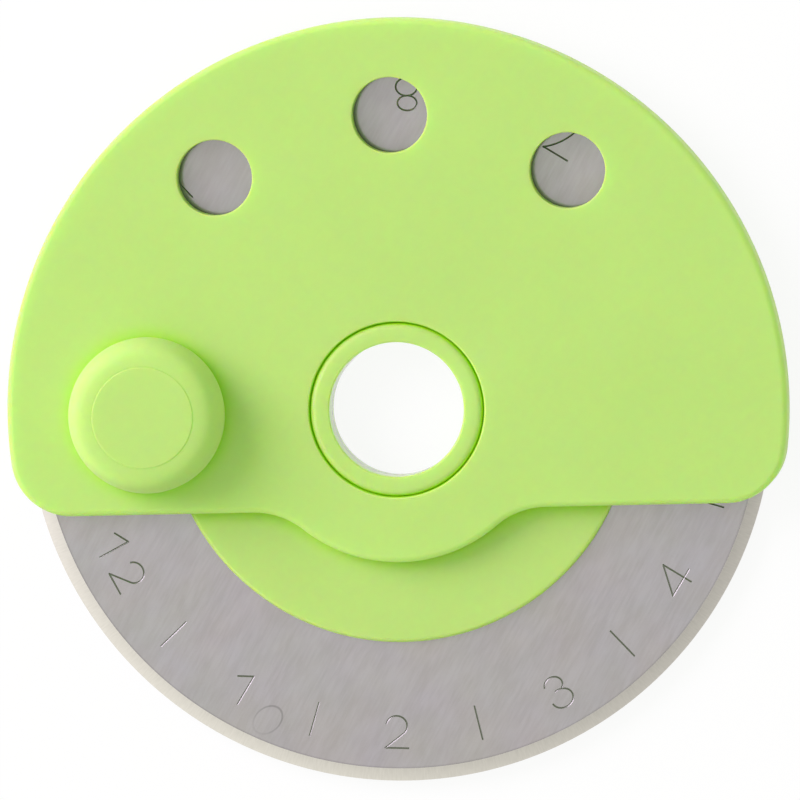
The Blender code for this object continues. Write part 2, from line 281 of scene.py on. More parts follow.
def mesh_object(name, verts, quads, tris, materials, slots=None, sharp=32):
    """An object from numpy arrays. Its normals are made to face out, and it is smooth up to the sharp
    angle, which is in degrees."""
    mesh = bpy.data.meshes.new(name)
    sizes = np.concatenate([np.full(len(quads), 4), np.full(len(tris), 3)])
    corners = np.concatenate([quads.ravel(), tris.ravel()]).astype(np.int32)
    mesh.vertices.add(len(verts))
    mesh.vertices.foreach_set("co", verts.astype(np.float32).ravel())
    mesh.loops.add(len(corners))
    mesh.loops.foreach_set("vertex_index", corners)
    mesh.polygons.add(len(sizes))
    mesh.polygons.foreach_set("loop_start", (np.cumsum(sizes) - sizes).astype(np.int32))
    for material in materials:
        mesh.materials.append(material)
    if slots is not None:
        mesh.polygons.foreach_set("material_index", slots.astype(np.int32))
    mesh.update(calc_edges=True)
    mesh.validate()
    bm = bmesh.new()
    bm.from_mesh(mesh)
    bmesh.ops.recalc_face_normals(bm, faces=bm.faces)
    bm.to_mesh(mesh)
    bm.free()
    mesh.shade_smooth()
    mesh.set_sharp_from_angle(angle=math.radians(sharp))
    made = bpy.data.objects.new(name, mesh)
    bpy.context.scene.collection.objects.link(made)
    return made


PORT_STEPS = (0.35, 0.7, 0.96)  # the flat rings of a port, as shares of the way from the rim to the circle


def round_port(columns, blocks, centre, levels):
    """A port whose rings run from the block's rim in to a circle, and then through (radius, z) levels.
    Each ring point keeps the direction of its rim point from the circle's centre."""

    def rings(rim):
        away = rim[:, :2] - centre
        across = away / np.linalg.norm(away, axis=1, keepdims=True)
        first = centre + across * levels[0][0]
        rows = [np.column_stack([rim[:, :2] + (first - rim[:, :2]) * step, rim[:, 2]]) for step in PORT_STEPS]
        rows += [np.column_stack([centre + across * r, np.full(len(rim), z)]) for r, z in levels]
        return np.array(rows)

    return {"columns": columns, "blocks": blocks, "rings": rings}


def deliver(piece, node, body):
    """Gives a finished piece its place in the frame: it stands for a node and moves with its body."""
    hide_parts(node)
    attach(piece, body)


# Material tools

WHITE = (1.0, 1.0, 1.0, 1.0)
FROM, TO = ("From Min", "From Max"), ("To Min", "To Max")  # the two spans of a Map Range node
SMOOTH = {"interpolation_type": "SMOOTHSTEP"}


def add_node(tree, kind, inputs=None, **settings):
    """Adds a node with its settings. An input is a value, an output to link, or a node whose first output
    in use is linked. A tuple of inputs takes a tuple of these."""
    made = tree.nodes.new(kind)
    for name, value in settings.items():
        setattr(made, name, value)
    for names, values in (inputs or {}).items():
        for name, value in zip(names, values) if isinstance(names, tuple) else [(names, values)]:
            if isinstance(value, bpy.types.Node):
                value = next(output for output in value.outputs if output.enabled)
            if isinstance(value, bpy.types.NodeSocket):
                tree.links.new(value, made.inputs[name])
            else:
                made.inputs[name].default_value = value
    return made


def blank(owner):
    """A new material or world, its nodes emptied, and add_node for its tree."""
    owner.use_nodes = True
    owner.node_tree.nodes.clear()
    return owner, partial(add_node, owner.node_tree)


def opaque(colour, share=1.0):
    """A colour, or a darker share of it, as the four numbers that a socket takes."""
    return (*(np.array(colour) * share), 1.0)


def per(millimetres):
    """Noise scale for a feature of that many millimetres."""
    return 1 / (millimetres * MM)


def hub_places(add):
    """For materials around the hub: object coordinates, the same centred on the hub axis and flattened, and
    the distance from the axis in metres."""
    coords = add("ShaderNodeTexCoord").outputs["Object"]
    to_hub = (-HUB[0], -HUB[1], 0.0)
    centred = add("ShaderNodeMapping", {"Vector": coords, "Location": to_hub, "Scale": (1.0, 1.0, 0.0)})
    return coords, centred, add("ShaderNodeVectorMath", {0: centred}, operation="LENGTH")


# Painted shade: over this distance ambient occlusion measures how open a place is, and the plastic's colour
# turns to a deeper green where it is closed, standing in for light that passes from one green face to
# another.
# The deeper green is full where 0.35 of a place's surroundings are open, and ends where 0.8 are.
SHADE_REACH = 1.6 * MM
OPEN_SHARES = (0.35, 0.8)
MOTTLE = 0.94  # the darker share of the plastic's soft mottle
# In millimetres. The pits of spark erosion are too fine to show, so they are drawn a few times coarser.
MOTTLE_SIZE, PIT_SIZE = 9, 0.3
BORE_SKIN, SKIN_END = 0.04 * MM, 0.2 * MM  # the bore's smooth skin fades out between these depths


def lime_plastic(scene):
    """Lime green ABS, moulded in a spark-eroded tool: satin, softly mottled, with an even fine texture. The
    core pin leaves the bore smooth, so it shines where it is seen at a low angle. In grooves and corners a
    painted shade, drawn from ambient occlusion, turns it a deeper green in place of light passed green to
    green."""
    found = bpy.data.materials.get("moulded_lime_abs")
    if found:
        return found
    finish, bore = scene.cutter_finish, scene.cutter_hub.bore / 2
    material, add = blank(bpy.data.materials.new("moulded_lime_abs"))
    coords, _, radius = hub_places(add)
    roughness = finish.bore_rough, finish.plastic_rough
    fade = bore + BORE_SKIN, bore + SKIN_END
    rough = add("ShaderNodeMapRange", {"Value": radius, FROM: fade, TO: roughness})
    flow, pits = (
        add("ShaderNodeTexNoise", {"Vector": coords, "Scale": per(size), "Detail": 2.0})
        for size in (MOTTLE_SIZE, PIT_SIZE)
    )
    light, dark = opaque(finish.plastic), opaque(finish.plastic, MOTTLE)
    mottled = add("ShaderNodeMix", {"Factor": flow, "A": light, "B": dark}, data_type="RGBA")
    # Painted shade: the colour turns to the deeper green where ambient occlusion finds the surroundings
    # closed
    openness = add("ShaderNodeAmbientOcclusion", {"Distance": SHADE_REACH}, samples=8).outputs["AO"]
    corner_shade_share = add("ShaderNodeMapRange", {"Value": openness, FROM: OPEN_SHARES, TO: (1.0, 0.0)})
    painted_corner_green = opaque(finish.plastic_deep)
    colour = add("ShaderNodeMix", {"Factor": corner_shade_share, "A": mottled, "B": painted_corner_green}, data_type="RGBA")
    bump = add("ShaderNodeBump", {"Height": pits, "Strength": 0.12, "Distance": 0.02 * MM})
    shader = add("ShaderNodeBsdfPrincipled", {
        "Base Color": colour, "Roughness": rough, "Normal": bump, "IOR": 1.54, "Specular IOR Level": 0.25,
        "Subsurface Weight": 1.0, "Subsurface Radius": (0.45, 0.9, 0.08), "Subsurface Scale": 1.2 * MM,
    })
    add("ShaderNodeOutputMaterial", {"Surface": shader})
    return material


BRUSH_TURN = (0.0, 0.0, math.radians(-62))  # lays the brushing along x
SCRATCH_STRETCH, PATCH_STRETCH = (0.12, 1.0, 1.0), (0.55, 1.0, 1.0)
# In millimetres. Real scratches are about 0.03 wide, too fine to show, so they are drawn coarser.
SCRATCH_SIZE, PATCH_SIZE, CLOUD_SIZE = 0.16, 1.1, 4.0
BRUSH_SHADE = (0.91, 0.905, 0.89)  # what the darker streaks keep of red, green and blue
TINTS = (0.97, 0.975, 0.95), (1.0, 1.0, 1.02)  # the ends of the face's slow changes in hue
ROUGH_SPREAD = 0.03
# Painted shade: what the face keeps of its colour in the painted line along the bevel's crease
CREASE_SHADE = 0.8  # of the dull line along the bevel
HAZE_SHARE = 0.42

# A dried drop left a faint oval outline on the blade's face, darker at one end; its place is from the hub
# axis, and its rim fades out between the two distances
STAIN_PLACE = (-7.95 * MM, -18.87 * MM, 0.0)
STAIN_TURN = (0.0, 0.0, math.radians(40))
STAIN_OVAL = (1.22, 0.9, 1.0)
STAIN_RADIUS = 0.81 * MM
STAIN_ENDS, STAIN_SHADES = (-0.7 * MM, 0.5 * MM), (0.92, 0.72)
STAIN_RIM = (0.02 * MM, 0.08 * MM)


def brushed_steel(finish, sizes):
    """Cold-rolled blade steel, brushed across in one direction: long fine scratches, a grey satin face that
    mirrors what is close and has a wide haze over it. A painted shade darkens a thin line along the face's
    edge, at its crease with the bevel."""
    material, add = blank(bpy.data.materials.new("brushed_blade_steel"))
    coords, centred, radius = hub_places(add)
    brushed = add("ShaderNodeMapping", {"Vector": coords, "Rotation": BRUSH_TURN})
    streaks = add("ShaderNodeMapping", {"Vector": brushed, "Scale": SCRATCH_STRETCH})
    patches = add("ShaderNodeMapping", {"Vector": brushed, "Scale": PATCH_STRETCH})
    noises = (streaks, SCRATCH_SIZE, 2.0), (patches, PATCH_SIZE, 3.0), (coords, CLOUD_SIZE, 3.0)
    fine, broad, cloud = (
        add("ShaderNodeTexNoise", {"Vector": place, "Scale": per(size), "Detail": detail})
        for place, size, detail in noises
    )
    summed = add("ShaderNodeMath", {0: fine, 1: broad})
    streak = add("ShaderNodeMapRange", {"Value": summed, FROM: (0.75, 1.25)})
    light, dark = opaque(finish.steel), opaque(finish.steel, BRUSH_SHADE)
    colour = add("ShaderNodeMix", {"Factor": streak, "A": light, "B": dark}, data_type="RGBA")
    hue = add(
        "ShaderNodeMapRange",
        {"Vector": cloud.outputs["Color"], FROM: ((0.3, 0.3, 0.3), (0.7, 0.7, 0.7)), TO: TINTS},
        data_type="FLOAT_VECTOR",
    )
    colour = add("ShaderNodeVectorMath", {0: colour, 1: hue}, operation="MULTIPLY")
    drop = add(
        "ShaderNodeMapping",
        {"Vector": centred, "Location": STAIN_PLACE, "Rotation": STAIN_TURN, "Scale": STAIN_OVAL},
        vector_type="TEXTURE",
    )
    along = add("ShaderNodeSeparateXYZ", {"Vector": drop}).outputs["X"]
    strength = add("ShaderNodeMapRange", {"Value": along, FROM: STAIN_ENDS, TO: STAIN_SHADES})
    reach = add("ShaderNodeVectorMath", {0: drop}, operation="LENGTH")
    from_rim = add("ShaderNodeMath", {0: reach, 1: STAIN_RADIUS}, operation="SUBTRACT")
    from_rim = add("ShaderNodeMath", {0: from_rim}, operation="ABSOLUTE")
    stain = add("ShaderNodeMapRange", {"Value": from_rim, FROM: STAIN_RIM, TO: (strength, 1.0)}, **SMOOTH)
    face_end = BLADE_RADIUS - sizes.bevel
    # Painted shade: a thin darker line along the face's edge at the bevel's crease, multiplied with the drop
    # stain, which is a real mark
    span = face_end - sizes.dull_line, face_end
    line_shade = add("ShaderNodeMapRange", {"Value": radius, FROM: span, TO: (1.0, CREASE_SHADE)}, **SMOOTH)
    dull = add("ShaderNodeMath", {0: line_shade, 1: stain}, operation="MULTIPLY")
    colour = add("ShaderNodeVectorMath", {0: colour, "Scale": dull}, operation="SCALE")
    roughness = finish.steel_rough - ROUGH_SPREAD, finish.steel_rough + ROUGH_SPREAD
    rough = add("ShaderNodeMapRange", {"Value": cloud, TO: roughness})
    bump = add("ShaderNodeBump", {"Height": fine, "Strength": 0.25, "Distance": 0.004 * MM})
    metal = {"Base Color": colour, "Metallic": 1.0, "Normal": bump}
    clear = add("ShaderNodeBsdfPrincipled", {**metal, "Roughness": rough})
    haze = add("ShaderNodeBsdfPrincipled", {**metal, "Roughness": finish.steel_haze})
    shader = add("ShaderNodeMixShader", {0: HAZE_SHARE, 1: clear, 2: haze})
    add("ShaderNodeOutputMaterial", {"Surface": shader})
    return material


def cut_steel(finish):
    """The walls of the engraved lines, cut by a point and left dull: grey, and darker where they
    face away from the light."""
    material, add = blank(bpy.data.materials.new("engraved_line_steel"))
    metal = {"Base Color": opaque(finish.cut), "Metallic": 1.0, "Roughness": finish.cut_rough}
    shader = add("ShaderNodeBsdfPrincipled", metal)
    add("ShaderNodeOutputMaterial", {"Surface": shader})
    return material


GRINDING_PITCH = 0.09 * MM  # from mark to mark round the edge, a few times the real one, so that it shows
GRINDING_LENGTH = 0.6  # of a mark, out to the edge, in millimetres
GRINDING_SHADE = 0.8
BEVEL_SHADES = (0.95, 1.07)  # at the bevel's inner and outer edge


def ground_steel(finish, sizes):
    """The bevel, ground on a wheel: bright, with fine marks that run straight out to the edge."""
    material, add = blank(bpy.data.materials.new("ground_bevel_steel"))
    _, centred, radius = hub_places(add)
    x, y, _ = add("ShaderNodeSeparateXYZ", {"Vector": centred}).outputs
    angle = add("ShaderNodeMath", {0: y, 1: x}, operation="ARCTAN2")
    around = add("ShaderNodeMath", {0: angle, 1: BLADE_RADIUS / GRINDING_PITCH}, operation="MULTIPLY")
    out = add("ShaderNodeMath", {0: radius, 1: per(GRINDING_LENGTH)}, operation="MULTIPLY")
    place = add("ShaderNodeCombineXYZ", {"X": around, "Y": out})
    marks = add("ShaderNodeTexNoise", {"Vector": place, "Scale": 1.0, "Detail": 3.0})
    span = BLADE_RADIUS - sizes.bevel, BLADE_RADIUS
    shade = add("ShaderNodeMapRange", {"Value": radius, FROM: span, TO: BEVEL_SHADES})
    light, dark = opaque(finish.bevel), opaque(finish.bevel, GRINDING_SHADE)
    colour = add("ShaderNodeMix", {"Factor": marks, "A": light, "B": dark}, data_type="RGBA")
    colour = add("ShaderNodeVectorMath", {0: colour, "Scale": shade}, operation="SCALE")
    bump = add("ShaderNodeBump", {"Height": marks, "Strength": 0.2, "Distance": 0.004 * MM})
    metal = {"Base Color": colour, "Metallic": 1.0, "Roughness": finish.bevel_rough, "Normal": bump}
    shader = add("ShaderNodeBsdfPrincipled", metal)
    add("ShaderNodeOutputMaterial", {"Surface": shader})
    return material


# Engraved marks


def oval(cx, cy, rx, ry, start, end, count):
    """Points of an elliptical arc, its angles in degrees."""
    angle = np.radians(np.linspace(start, end, count))
    return np.stack([cx + rx * np.cos(angle), cy + ry * np.sin(angle)], axis=-1)


def line(*points):
    return np.array(points, float)


# Single-line strokes of each digit, in a cell from -1 to 1 in height, 1.3 wide
DIGITS = {
    "0": [oval(0, 0, 0.7, 1, 90, 450, 29)],
    "1": [line((-0.34, 0.51), (0.53, 1)), line((0.53, 1), (0.53, -1))],
    "2": [
        np.vstack([oval(0.02, 0.36, 0.65, 0.62, 168, -45, 18), line((-0.66, -1))]),
        line((-0.66, -1), (0.78, -1)),
    ],
    "3": [oval(0.1, 0.46, 0.58, 0.5, 168, -50, 17), oval(0.2, -0.5, 0.69, 0.58, 105, -175, 22)],
    "4": [line((0.38, 1), (0.38, -1)), line((0.38, 1), (-0.95, -0.5)), line((-0.95, -0.5), (0.96, -0.5))],
    "5": [
        line((0.6, 1), (-0.4, 1)),
        line((-0.4, 1), (-0.5, 0.15)),
        oval(0.05, -0.36, 0.68, 0.64, 140, -150, 22),
    ],
    "6": [oval(0.03, -0.4, 0.66, 0.6, 90, 450, 27), oval(0.66, -0.34, 1.29, 1.34, 96, 176, 9)],
    "7": [line((-0.76, 0.95), (0.97, 0.95)), oval(3.2, -1.9, 3.62, 3.65, 128, 166, 7)],
    "8": [oval(-0.06, 0.45, 0.6, 0.46, 90, 450, 25), oval(0, -0.55, 0.67, 0.55, 90, 450, 25)],
    "9": [oval(-0.03, 0.4, 0.66, 0.6, 90, 450, 27), oval(-0.66, 0.34, 1.29, 1.34, -84, -4, 9)],
}
MARK_RING_OFFSET = Vector((0.13, -0.375)) * MM  # the ring of marks isn't quite centred on the blade
MARK_RING_TURN = math.radians(-0.9)
MARK_COUNT = 12
FIRST_MARK = math.radians(240)  # place of the 1; the numbers rise anticlockwise
TWO_DIGIT_START = -1.79  # place of the first digit of a two-digit number, in half digit heights
DIGIT_PITCH = 2.34
GROOVE_OVERRUN = 0.3  # how far a line runs past its ends, as a share of its width


def number_strokes(number):
    """The strokes of one or two digits side by side."""
    digits = str(number)
    start = TWO_DIGIT_START if len(digits) > 1 else 0
    shift = [start + DIGIT_PITCH * i for i in range(len(digits))]
    return [stroke + (x, 0) for digit, x in zip(digits, shift) for stroke in DIGITS[digit]]


def mark_strokes(sizes):
    """Every engraved line as a run of (x, y) points: numbers whose tops face the hub, and ticks between."""
    centre = np.array(HUB + MARK_RING_OFFSET)
    half = sizes.mark_height / 2
    tick_ends = sizes.mark_radius + sizes.tick_length * np.array([[-0.5], [0.5]])
    strokes = []
    for i in range(MARK_COUNT):
        angle = FIRST_MARK + MARK_RING_TURN + math.tau * i / MARK_COUNT
        outwards = spoke(angle)
        right = np.array([-outwards[1], outwards[0]])
        place = centre + outwards * sizes.mark_radius
        strokes += [place + half * (s[:, :1] * right - s[:, 1:] * outwards) for s in number_strokes(i + 1)]
        strokes.append(centre + spoke(angle + math.tau / MARK_COUNT / 2) * tick_ends)
    return strokes


def groove_tool(points, width, depth):
    """A V-shaped bar along a run of points, its edge down: at each point the cross-section's three corners
    lie in the plane that halves the turn. It stands as far above the face as it cuts into it, and so it is
    twice as wide at its top."""
    ahead = np.diff(points, axis=0)
    ahead /= np.linalg.norm(ahead, axis=1, keepdims=True)
    before = np.vstack([ahead[:1], ahead])
    after = np.vstack([ahead, ahead[-1:]])
    mitre = before + after
    mitre /= np.linalg.norm(mitre, axis=1, keepdims=True)
    side = np.stack([-mitre[:, 1], mitre[:, 0]], axis=-1) * width
    side /= (before * mitre).sum(axis=1, keepdims=True)
    beyond = width * GROOVE_OVERRUN
    run = np.vstack([points[:1] - ahead[0] * beyond, points[1:-1], points[-1:] + ahead[-1] * beyond])
    corners = ((run + side, depth), (run, -depth), (run - side, depth))
    levels = [np.column_stack([points, np.full(len(run), BLADE_FRONT + z)]) for points, z in corners]
    return np.stack(levels, axis=1)


def groove_tools(sizes, material):
    """All groove tools in one mesh, each a closed bar with its two ends filled."""
    verts, quads, tris, total = [], [], [], 0
    for points in mark_strokes(sizes):
        bar = groove_tool(points, sizes.groove_width, sizes.groove_depth)
        index = total + np.arange(len(bar) * 3).reshape(-1, 3)
        verts.append(bar.reshape(-1, 3))
        quads.append(band_quads(index[:-1], index[1:]).reshape(-1, 4))
        tris.append(np.array([index[0][::-1], index[-1]]))
        total += index.size
    return mesh_object("groove_tools", np.vstack(verts), np.vstack(quads), np.vstack(tris), [material])


# Pieces

OUTLINE_SPACING = 0.17 * MM
WALL_START = 0.25 * MM  # the rim wall stands where the outline lies this far outside the wall's inside
BACK_INSETS = (0.4 * MM, 0.8 * MM)  # elsewhere the back steps in from the outline by these two
FOOT_ROUND = 0.08 * MM  # of the wall's back edge
DRAFT_DEPTH = 0.4 * MM  # of the recess around the ring
FACE_SHARES = np.concatenate([[0.004], np.linspace(0.03, 0.97, 34), [0.996]])  # rows across a plate's face
WINDOW_BLOCK, STEM_BLOCK, PEG_BLOCK = 3.1 * MM, 2.3 * MM, 0.95 * MM  # half-sizes of the ports' blocks


class BLADE_OT_guard(bpy.types.Operator):
    """Builds the guard: its outline's arcs carried inwards as loops, with windows opened as ports"""

    bl_idname = "cutter_blade.guard"
    bl_label = "Guard"

    def execute(self, context):
        scene = context.scene
        sizes, hub = scene.cutter_guard, scene.cutter_hub
        outline, normal = guard_outline(sizes)
        angle = np.arctan2(outline[:, 1], outline[:, 0])
        direction = np.stack([np.cos(angle), np.sin(angle)], axis=-1)
        back = GUARD_FRONT - sizes.plate
        recess = RING_RADIUS + sizes.ring_gap
        tight = RING_RADIUS + sizes.ring_gap_end
        bore = direction * (hub.neck / 2 + sizes.turn_gap)
        wall_inside = sizes.radius - sizes.wall
        walled = np.linalg.norm(outline, axis=1) - wall_inside > WALL_START
        level = np.where(walled, WALL_BACK, back)
        hole, edge = sizes.hole_round, sizes.edge_round

        def at(points, z):
            return np.column_stack([points, np.broadcast_to(z, len(outline))])

        def wall_foot(inset):
            return np.where(walled[:, None], direction * wall_inside, outline - normal * inset)

        rows = [at(direction * tight, sizes.ledge_front), at(direction * tight, GUARD_FRONT - DRAFT_DEPTH)]
        rows += [at(direction * (recess + out), GUARD_FRONT - down) for out, down in quarter_round(hole, 4)]
        inner, outer = direction * (recess + hole), outline - normal * edge
        starts = [len(rows)]
        rows += [at(inner + (outer - inner) * share, GUARD_FRONT) for share in FACE_SHARES]
        rows += [at(outline - normal * inset, GUARD_FRONT - down) for down, inset in quarter_round(edge, 10)]
        rows += [at(outline - normal * inset, level + rise) for inset, rise in quarter_round(FOOT_ROUND, 4)]
        low, high = (wall_foot(inset) for inset in BACK_INSETS)
        rows += [at(low, level), at(high, back)]
        starts.append(len(rows))
        rows += [at(high + (bore - high) * share, back) for share in FACE_SHARES]
        rows += [at(bore, back), at(bore, sizes.ledge_front)]
        loops = np.array(rows)

        radius = sizes.window / 2
        pitch = sizes.radius - sizes.window_land - radius
        middle = (sizes.window_count - 1) / 2
        levels = [(radius + out, GUARD_FRONT - down) for down, out in quarter_round(hole, 4)]
        levels.append((radius, back))
        turns = [UP + (middle - i) * sizes.window_spacing for i in range(sizes.window_count)]
        ports = [self.port(loops, pitch, turn, WINDOW_BLOCK, levels, starts, angle) for turn in turns]
        stem = hub.seat_gap + scene.cutter_knob.stem / 2
        levels = [(stem, GUARD_FRONT), (stem, back)]
        pitch = (HUB - KNOB_CENTRE).length
        ports.append(self.port(loops, pitch, math.pi, STEM_BLOCK, levels, starts, angle))
        verts, quads, tris = shell(loops, ports=ports)
        verts[:, :2] = verts[:, :2] @ np.array(Matrix.Rotation(GUARD_TURN, 2)).T + HUB
        piece = mesh_object("guard_cover", verts, quads, tris, [lime_plastic(scene)])
        deliver(piece, "guard", "guard")
        return {"FINISHED"}

    def port(self, loops, pitch, turn, half, levels, starts, angle):
        """A round port at a pitch and a turn, cut through the rows of the front and of the back face."""
        away = (angle - turn + math.pi) % math.tau - math.pi
        columns = np.flatnonzero(np.abs(away) < half / pitch)
        reach = np.linalg.norm(loops[:, columns[len(columns) // 2], :2], axis=1)
        front, back = (
            start + np.flatnonzero(np.abs(reach[start : start + len(FACE_SHARES)] - pitch) < half)
            for start in starts
        )
        count = min(len(front), len(back)) - 1
        blocks = [(front[0], front[0] + count), (back[0] + count, back[0])]
        return round_port((columns[0], columns[-1]), blocks, pitch * spoke(turn), levels)


def guard_outline(sizes):
    """The guard's outline round the hub axis and its outward normals, (columns, 2) each: tangent arcs and a
    straight edge, from the bottom of the bulge up to the top, and the same mirrored."""

    def centre_at(reach, y):
        point = np.array([math.sqrt(reach**2 - y**2), y])
        return point, math.atan2(*point[::-1])

    corner, corner_end = centre_at(sizes.radius - sizes.corner, sizes.corner - sizes.flat_drop)
    blend, blend_angle = centre_at(sizes.bulge + sizes.blend, -sizes.flat_drop - sizes.blend)
    points, normals = [], []

    def add_arc(centre, radius, start, end, side=1):
        count = max(8, round(abs(end - start) * radius / OUTLINE_SPACING))
        unit = arc(1.0, start, end, count + 1)[:-1]
        points.append(centre + unit * radius)
        normals.append(unit * side)

    add_arc((0, 0), sizes.bulge, DOWN, blend_angle)
    add_arc(blend, sizes.blend, blend_angle + math.pi, UP, -1)
    ends = [(x, -sizes.flat_drop) for x in (blend[0], corner[0])]
    points.append(np.linspace(*ends, round((corner[0] - blend[0]) / OUTLINE_SPACING), endpoint=False))
    normals.append(np.tile((0.0, -1.0), (len(points[-1]), 1)))
    add_arc(corner, sizes.corner, DOWN, corner_end)
    add_arc((0, 0), sizes.radius, corner_end, UP)
    half, facing = np.vstack(points), np.vstack(normals)
    mirror = np.array([-1.0, 1.0])
    outline = np.vstack([half, [(0.0, sizes.radius)], half[:0:-1] * mirror])
    return outline, np.vstack([facing, [(0.0, 1.0)], facing[:0:-1] * mirror])


PEG_ROWS = 7  # rows of a flat face that carry the pegs' blocks, from its row 1 on
HAIR, NARROW = 0.03 * MM, 0.05 * MM  # widths of the rows that keep flat faces flat beside an edge
PEG_CHAMFER = 0.1 * MM
BLADE_COLUMNS, DISC_COLUMNS, RING_COLUMNS, KNOB_COLUMNS = 432, 360, 300, 256


def peg_pitch(hub):
    return (hub.neck / 2 + FLANGE_RADIUS) / 2


def peg_ports(hub, columns, blocks, levels):
    """Ports for the pegs or their holes, evenly round the hub axis."""
    pitch = peg_pitch(hub)
    span = round(PEG_BLOCK / pitch / math.tau * columns)
    ports = []
    for i in range(hub.peg_count):
        turn = UP + math.tau * i / hub.peg_count
        middle = round(turn % math.tau / math.tau * columns)
        centre = np.array(HUB) + pitch * spoke(turn)
        ports.append(round_port((middle - span, middle + span), blocks, centre, levels))
    return ports


def face_rows(start, end, z, hub):
    """The (r, z) rows of a flat ring from one radius to the other. Rows 1 to PEG_ROWS lie around the pegs."""
    half = PEG_BLOCK * (1 if end > start else -1)
    pitch = peg_pitch(hub)
    radii = np.concatenate([[start], np.linspace(pitch - half, pitch + half, PEG_ROWS), [end]])
    return np.column_stack([radii, np.full(len(radii), z)])


class BLADE_OT_blade(bpy.types.Operator):
    """Builds the blade: its profile carried round the axis, with peg holes as ports and V grooves cut in"""

    bl_idname = "cutter_blade.blade"
    bl_label = "Blade"

    def execute(self, context):
        scene = context.scene
        sizes, hub, finish = scene.cutter_blade, scene.cutter_hub, scene.cutter_finish
        bore = hub.bore / 2
        face_end = BLADE_RADIUS - sizes.bevel
        middle = (BLADE_BACK + BLADE_FRONT) / 2
        bevel_end = (BLADE_RADIUS, middle + sizes.edge_land / 2)
        bevel = np.linspace((face_end, BLADE_FRONT), bevel_end, 5)[1:]
        back_bevel = bevel[::-1] * (1, -1) + (0, 2 * middle)
        rims = np.vstack([face_rows(bore, face_end, BLADE_FRONT, hub), bevel, back_bevel])
        profile = np.vstack([rims, face_rows(face_end, bore, BLADE_BACK, hub)])
        blocks = [(1, PEG_ROWS), (len(rims) + PEG_ROWS, len(rims) + 1)]
        radius = hub.peg / 2 + hub.peg_gap
        levels = [(radius, BLADE_FRONT), (radius, BLADE_BACK)]
        ports = peg_ports(hub, BLADE_COLUMNS, blocks, levels)
        verts, quads, tris = shell(turned(profile, BLADE_COLUMNS), ports=ports)
        reach = np.linalg.norm(verts[quads][:, :, :2].mean(axis=1) - np.array(HUB), axis=1)
        materials = [brushed_steel(finish, sizes), ground_steel(finish, sizes)]
        # The bevel leaves the face at under 11 degrees, so less than that is an edge here
        piece = mesh_object("engraved_blade", verts, quads, tris, materials, reach > face_end, sharp=8)
        tools = groove_tools(sizes, cut_steel(finish))
        cut = piece.modifiers.new("engraving", "BOOLEAN")
        cut.operation = "DIFFERENCE"
        cut.solver = "EXACT"
        cut.use_self = True
        cut.material_mode = "TRANSFER"
        cut.object = tools
        context.view_layer.update()
        graph = context.evaluated_depsgraph_get()
        engraved = bpy.data.meshes.new_from_object(piece.evaluated_get(graph))
        engraved.set_sharp_from_angle(angle=math.radians(9))
        piece.modifiers.clear()
        piece.data = engraved
        bpy.data.objects.remove(tools)
        deliver(piece, "blade", "blade_hub")
        return {"FINISHED"}


class BLADE_OT_hub(bpy.types.Operator):
    """Builds the front hub, the rear flange and the retaining ring: profiles carried round the hub axis"""

    bl_idname = "cutter_blade.hub"
    bl_label = "Hub"

    def execute(self, context):
        hub = context.scene.cutter_hub
        plastic = lime_plastic(context.scene)
        for name, node, (loops, ports) in (
            ("hub_disc", "front_hub", self.front(hub)),
            ("back_flange", "rear_flange", self.rear(hub)),
            ("hub_ring", "retaining_ring", self.ring(hub)),
        ):
            piece = mesh_object(name, *shell(loops, ports=ports), [plastic])
            deliver(piece, node, "blade_hub")
        return {"FINISHED"}

    def front(self, hub):
        """Disc and neck: bore, rebate for the ring's spigot, neck, disc face with a round edge, back face."""
        bore, neck, edge = hub.bore / 2, hub.neck / 2, hub.disc_round
        back = BLADE_FRONT + hub.seat_gap
        front = back + hub.disc
        rebate, rebate_floor = bore + hub.spigot_wall + hub.seat_gap, SPIGOT_END - hub.seat_gap
        rounded = (FLANGE_RADIUS - edge, front - edge) + arc(edge, UP, 0, 9)
        upper = np.vstack([
            (bore, back + HAIR), (bore, rebate_floor), (rebate, rebate_floor), (rebate, NECK_TOP),
            (neck, NECK_TOP), (neck, front), (neck + HAIR, front), (FLANGE_RADIUS - edge - NARROW, front),
            rounded,
        ])
        profile = np.vstack([upper, face_rows(FLANGE_RADIUS, bore, back, hub)])
        peg = hub.peg / 2
        levels = [(peg, back), (peg, PEG_END + PEG_CHAMFER), (peg - PEG_CHAMFER, PEG_END)]
        ports = peg_ports(hub, DISC_COLUMNS, [(len(upper) + 1, len(upper) + PEG_ROWS)], levels)
        return turned(profile, DISC_COLUMNS), ports

    def rear(self, hub):
        """Flange behind the blade: bore, front face with blind sockets, side and round back edge."""
        bore, edge = hub.bore / 2, hub.disc_round
        rounded = (FLANGE_RADIUS - edge, REAR_BACK + edge) + arc(edge, 0, DOWN, 9)
        end = np.array([(FLANGE_RADIUS - edge - NARROW, REAR_BACK), (bore, REAR_BACK)])
        profile = np.vstack([face_rows(bore, FLANGE_RADIUS, REAR_FRONT, hub), rounded, end])
        socket = hub.peg / 2 + hub.peg_gap
        levels = [(socket, REAR_FRONT), (socket, REAR_BACK + hub.socket_floor)]
        return turned(profile, DISC_COLUMNS), peg_ports(hub, DISC_COLUMNS, [(1, PEG_ROWS)], levels)

    def ring(self, hub):
        """Ring around the hole: a head with two round edges over a thin spigot."""
        bore = hub.bore / 2
        spigot = bore + hub.spigot_wall
        edge, mouth = hub.ring_round, hub.mouth_round
        inner = (bore + mouth, RING_FRONT - mouth) + arc(mouth, math.pi, UP, 7)
        outer = (RING_RADIUS - edge, RING_FRONT - edge) + arc(edge, UP, 0, 13)
        under = RING_FRONT - hub.ring_head
        end = np.array([(RING_RADIUS, under), (spigot, under), (spigot, SPIGOT_END)])
        return turned(np.vstack([(bore, SPIGOT_END), inner, outer, end]), RING_COLUMNS), ()


SQUARENESS = 2.5  # of the shoulder's curve; 1 would be round, and more is squarer


